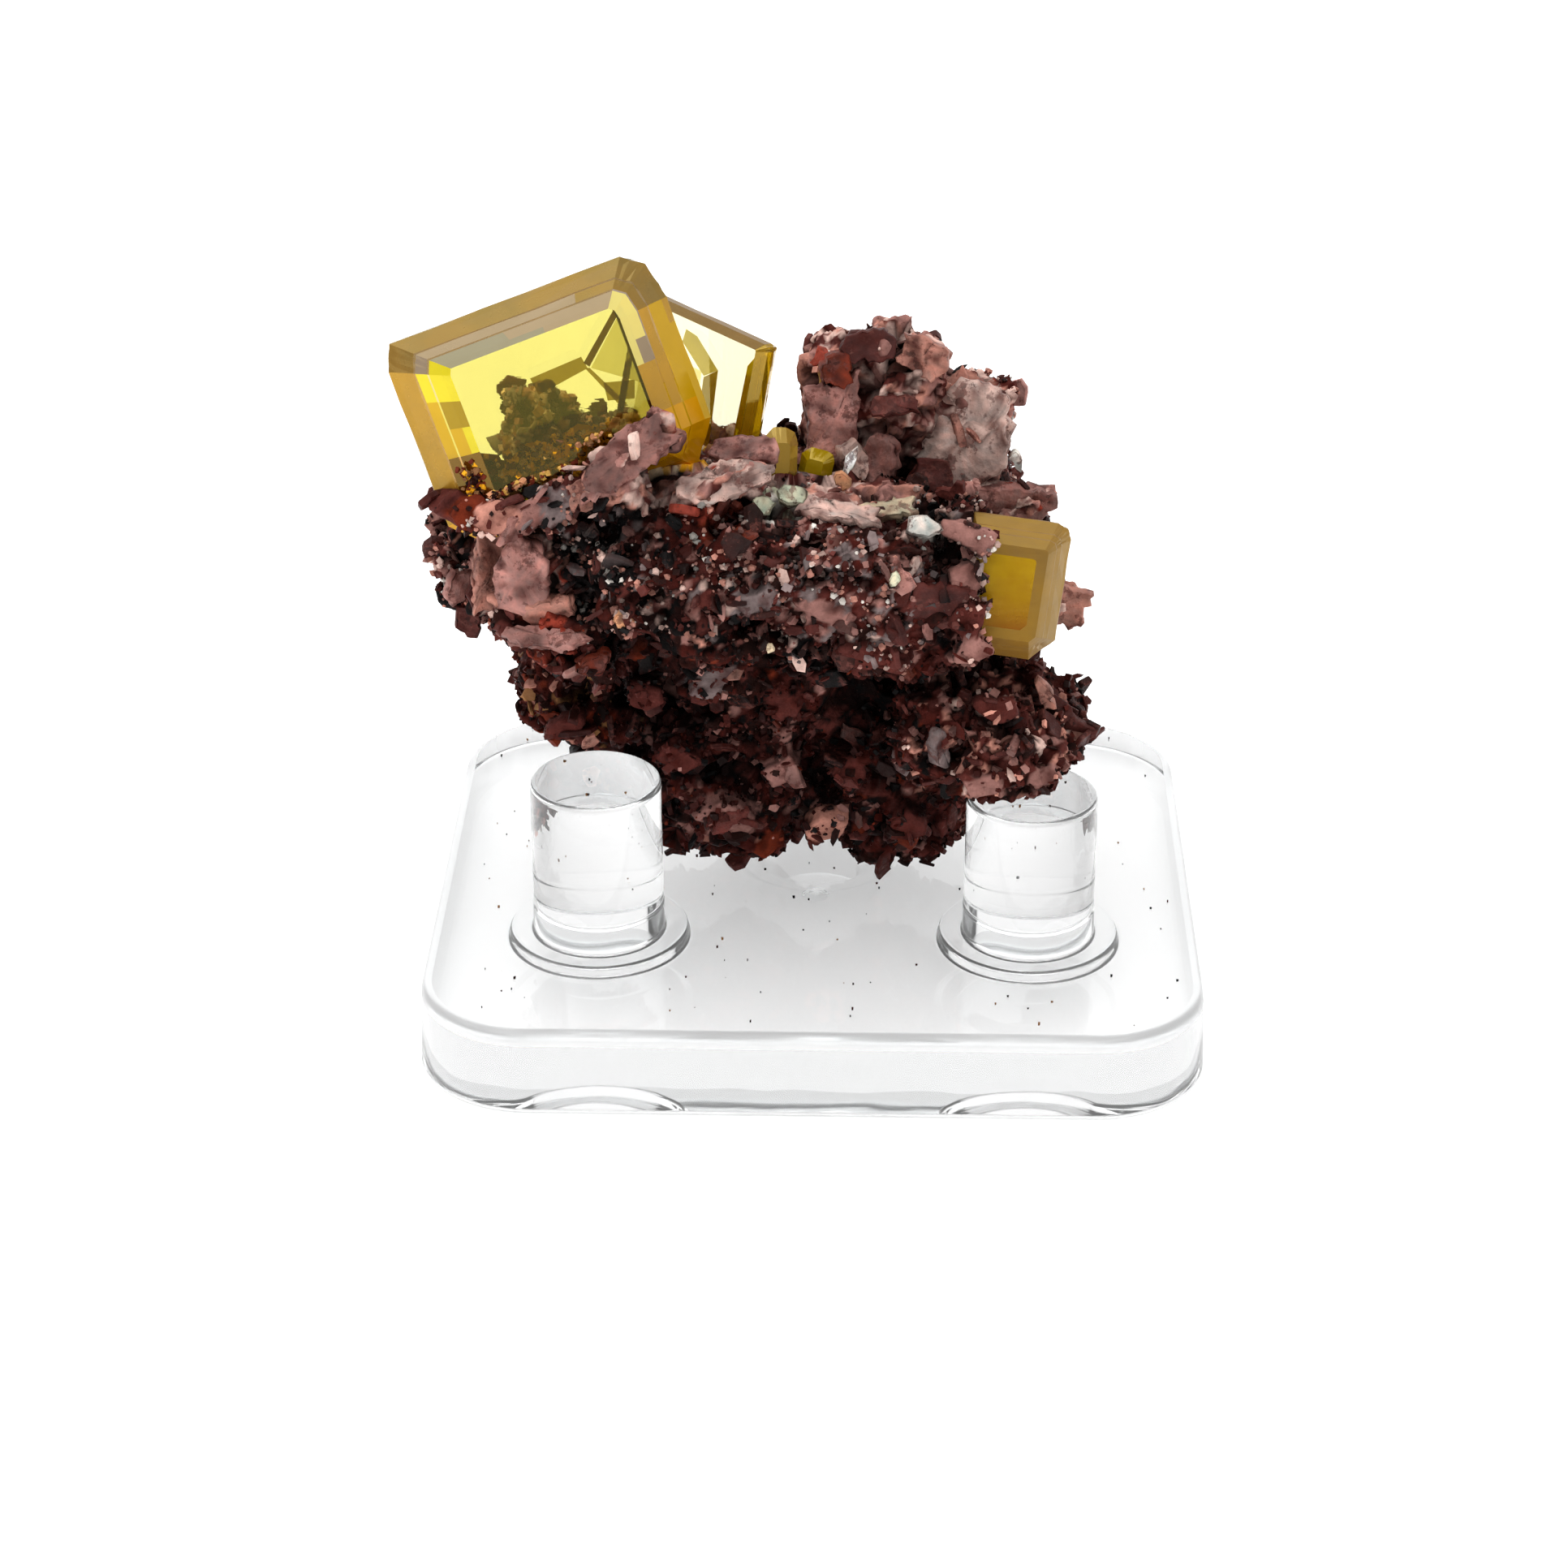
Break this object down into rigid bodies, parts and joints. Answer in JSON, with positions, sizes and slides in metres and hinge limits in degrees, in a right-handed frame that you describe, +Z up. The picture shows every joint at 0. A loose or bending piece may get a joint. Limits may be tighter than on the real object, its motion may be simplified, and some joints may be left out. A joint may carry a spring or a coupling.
{
  "type": "wulfenite specimen on a peg stand",
  "caption": "Tabular yellow wulfenite crystals on a rough matrix of bladed barite, resting on the round pegs of a clear moulded display stand.",
  "frame": {"origin": "centre of the stand's flat underside", "axes": "+X to the right as seen from the display side, +Y away from the display side, +Z up"},
  "size_m": [0.0388, 0.0336, 0.0373],
  "materials": {
    "stand_acrylic": "polished clear",
    "matrix_rock": "rough, granular",
    "wulfenite": "bright, flat-faced"
  },
  "bodies": {
    "root": {"stand": "stand_acrylic", "matrix": "matrix_rock", "wulfenite_main": "wulfenite", "wulfenite_rear": "wulfenite", "wulfenite_right": "wulfenite", "wulfenite_small_left": "wulfenite", "wulfenite_small_right": "wulfenite"}
  },
  "joints": []
}
